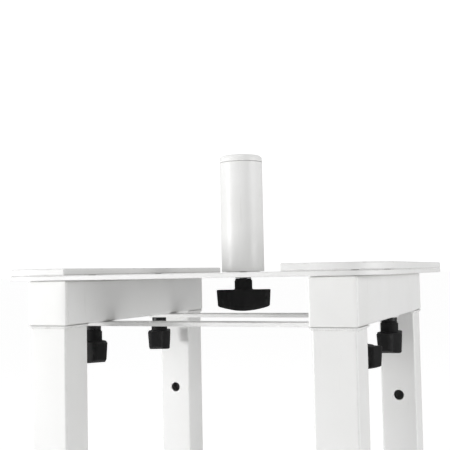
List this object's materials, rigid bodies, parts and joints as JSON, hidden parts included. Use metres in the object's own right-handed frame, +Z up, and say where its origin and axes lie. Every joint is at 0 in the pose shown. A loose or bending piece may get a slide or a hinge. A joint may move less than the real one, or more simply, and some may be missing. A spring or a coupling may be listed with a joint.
{
  "type": "sculpting turntable stand",
  "caption": "Square steel sculpting stand on telescoping legs, with a turning centre post held by a hand knob, a top plate with side panels, and black knobs that clamp the cross bars.",
  "frame": {"origin": "on the floor under the post's axis, at the middle of the four feet, with the legs at their lowest setting", "axes": "+Z up along the post's axis, front towards -Y, left panel towards -X"},
  "size_m": [0.35, 0.35, 0.7403],
  "materials": {
    "frame_paint": "white powder coat, satin with a faint orange peel",
    "cap_plastic": "white moulded plastic, slightly glossier than the paint",
    "slide_plastic": "natural acetal",
    "bush_plastic": "black moulded plastic",
    "foot_rubber": "black matte rubber",
    "knob_plastic": "black moulded plastic with a fine spark texture",
    "black_steel": "black oxide",
    "plain_steel": "zinc plated",
    "spring_steel": "bright spring steel"
  },
  "bodies": {
    "frame": {"header_left": "frame_paint", "header_right": "frame_paint", "header_cap_front_left": "cap_plastic", "header_cap_front_right": "cap_plastic", "header_cap_rear_left": "cap_plastic", "header_cap_rear_right": "cap_plastic", "outer_leg_front_left": "frame_paint", "outer_leg_front_right": "frame_paint", "outer_leg_rear_left": "frame_paint", "outer_leg_rear_right": "frame_paint", "leg_bush_front_left": "bush_plastic", "leg_bush_front_right": "bush_plastic", "leg_bush_rear_left": "bush_plastic", "leg_bush_rear_right": "bush_plastic", "top_plate": "frame_paint", "side_panel_left": "frame_paint", "side_panel_right": "frame_paint", "cross_bar_front": "frame_paint", "cross_bar_rear": "frame_paint", "panel_nut_front_left": "plain_steel", "panel_nut_front_right": "plain_steel", "panel_nut_rear_left": "plain_steel", "panel_nut_rear_right": "plain_steel", "post_thrust_washer": "slide_plastic"},
    "post": {"post_tube": "frame_paint", "post_cap": "cap_plastic", "post_socket": "plain_steel"},
    "leg_front_left": {"inner_leg_front_left": "frame_paint", "foot_front_left": "foot_rubber", "snap_spring_front_left": "spring_steel"},
    "button_front_left": {"snap_button_front_left": "plain_steel"},
    "leg_front_right": {"inner_leg_front_right": "frame_paint", "foot_front_right": "foot_rubber", "snap_spring_front_right": "spring_steel"},
    "button_front_right": {"snap_button_front_right": "plain_steel"},
    "leg_rear_left": {"inner_leg_rear_left": "frame_paint", "foot_rear_left": "foot_rubber", "snap_spring_rear_left": "spring_steel"},
    "button_rear_left": {"snap_button_rear_left": "plain_steel"},
    "leg_rear_right": {"inner_leg_rear_right": "frame_paint", "foot_rear_right": "foot_rubber", "snap_spring_rear_right": "spring_steel"},
    "button_rear_right": {"snap_button_rear_right": "plain_steel"},
    "washer_post": {"knob_washer_post": "black_steel"},
    "knob_post": {"knob_grip_post": "knob_plastic", "knob_stud_post": "plain_steel"},
    "washer_front_left": {"knob_washer_front_left": "black_steel"},
    "knob_front_left": {"knob_grip_front_left": "knob_plastic", "knob_stud_front_left": "plain_steel"},
    "washer_front_right": {"knob_washer_front_right": "black_steel"},
    "knob_front_right": {"knob_grip_front_right": "knob_plastic", "knob_stud_front_right": "plain_steel"},
    "washer_rear_left": {"knob_washer_rear_left": "black_steel"},
    "knob_rear_left": {"knob_grip_rear_left": "knob_plastic", "knob_stud_rear_left": "plain_steel"},
    "washer_rear_right": {"knob_washer_rear_right": "black_steel"},
    "knob_rear_right": {"knob_grip_rear_right": "knob_plastic", "knob_stud_rear_right": "plain_steel"}
  },
  "joints": [
    {"name": "post_turn", "type": "hinge", "parent": "frame", "child": "post", "pos_m": [0, 0, 0.6243], "axis": [0, 0, 1], "continuous": true},
    {"name": "leg_slide_front_left", "type": "slide", "parent": "frame", "child": "leg_front_left", "axis": [0, 0, -1], "range_m": [0, 0.3], "deforming": ["snap_button_front_left"]},
    {"name": "button_press_front_left", "type": "slide", "parent": "leg_front_left", "child": "button_front_left", "axis": [0, -1, 0], "range_m": [0, 0.0045], "stiffness_N_per_m": 400, "springref_m": -0.004, "deforming": ["snap_spring_front_left"]},
    {"name": "leg_slide_front_right", "type": "slide", "parent": "frame", "child": "leg_front_right", "axis": [0, 0, -1], "range_m": [0, 0.3], "deforming": ["snap_button_front_right"]},
    {"name": "button_press_front_right", "type": "slide", "parent": "leg_front_right", "child": "button_front_right", "axis": [0, -1, 0], "range_m": [0, 0.0045], "stiffness_N_per_m": 400, "springref_m": -0.004, "deforming": ["snap_spring_front_right"]},
    {"name": "leg_slide_rear_left", "type": "slide", "parent": "frame", "child": "leg_rear_left", "axis": [0, 0, -1], "range_m": [0, 0.3], "deforming": ["snap_button_rear_left"]},
    {"name": "button_press_rear_left", "type": "slide", "parent": "leg_rear_left", "child": "button_rear_left", "axis": [0, 1, 0], "range_m": [0, 0.0045], "stiffness_N_per_m": 400, "springref_m": -0.004, "deforming": ["snap_spring_rear_left"]},
    {"name": "leg_slide_rear_right", "type": "slide", "parent": "frame", "child": "leg_rear_right", "axis": [0, 0, -1], "range_m": [0, 0.3], "deforming": ["snap_button_rear_right"]},
    {"name": "button_press_rear_right", "type": "slide", "parent": "leg_rear_right", "child": "button_rear_right", "axis": [0, 1, 0], "range_m": [0, 0.0045], "stiffness_N_per_m": 400, "springref_m": -0.004, "deforming": ["snap_spring_rear_right"]},
    {"name": "knob_back_off_post", "type": "slide", "parent": "frame", "child": "washer_post", "axis": [0, 0, -1], "range_m": [0, 0.00376]},
    {"name": "knob_turn_post", "type": "hinge", "parent": "washer_post", "child": "knob_post", "pos_m": [0, 0, 0.6181], "axis": [0, 0, -1], "range_deg": [0, 1080]},
    {"name": "knob_back_off_front_left", "type": "slide", "parent": "frame", "child": "washer_front_left", "axis": [0, 0, -1], "range_m": [0, 0.00376]},
    {"name": "knob_turn_front_left", "type": "hinge", "parent": "washer_front_left", "child": "knob_front_left", "pos_m": [-0.13, -0.072, 0.5735], "axis": [0, 0, -1], "range_deg": [0, 1080]},
    {"name": "knob_back_off_front_right", "type": "slide", "parent": "frame", "child": "washer_front_right", "axis": [0, 0, -1], "range_m": [0, 0.00376]},
    {"name": "knob_turn_front_right", "type": "hinge", "parent": "washer_front_right", "child": "knob_front_right", "pos_m": [0.13, -0.072, 0.5735], "axis": [0, 0, -1], "range_deg": [0, 1080]},
    {"name": "knob_back_off_rear_left", "type": "slide", "parent": "frame", "child": "washer_rear_left", "axis": [0, 0, -1], "range_m": [0, 0.00376]},
    {"name": "knob_turn_rear_left", "type": "hinge", "parent": "washer_rear_left", "child": "knob_rear_left", "pos_m": [-0.13, 0.072, 0.5735], "axis": [0, 0, -1], "range_deg": [0, 1080]},
    {"name": "knob_back_off_rear_right", "type": "slide", "parent": "frame", "child": "washer_rear_right", "axis": [0, 0, -1], "range_m": [0, 0.00376]},
    {"name": "knob_turn_rear_right", "type": "hinge", "parent": "washer_rear_right", "child": "knob_rear_right", "pos_m": [0.13, 0.072, 0.5735], "axis": [0, 0, -1], "range_deg": [0, 1080]}
  ],
  "couplings": [
    {"joint": "knob_back_off_post", "follows": "knob_turn_post", "m_per_rad": 0.00019894},
    {"joint": "knob_back_off_front_left", "follows": "knob_turn_front_left", "m_per_rad": 0.00019894},
    {"joint": "knob_back_off_front_right", "follows": "knob_turn_front_right", "m_per_rad": 0.00019894},
    {"joint": "knob_back_off_rear_left", "follows": "knob_turn_rear_left", "m_per_rad": 0.00019894},
    {"joint": "knob_back_off_rear_right", "follows": "knob_turn_rear_right", "m_per_rad": 0.00019894}
  ]
}
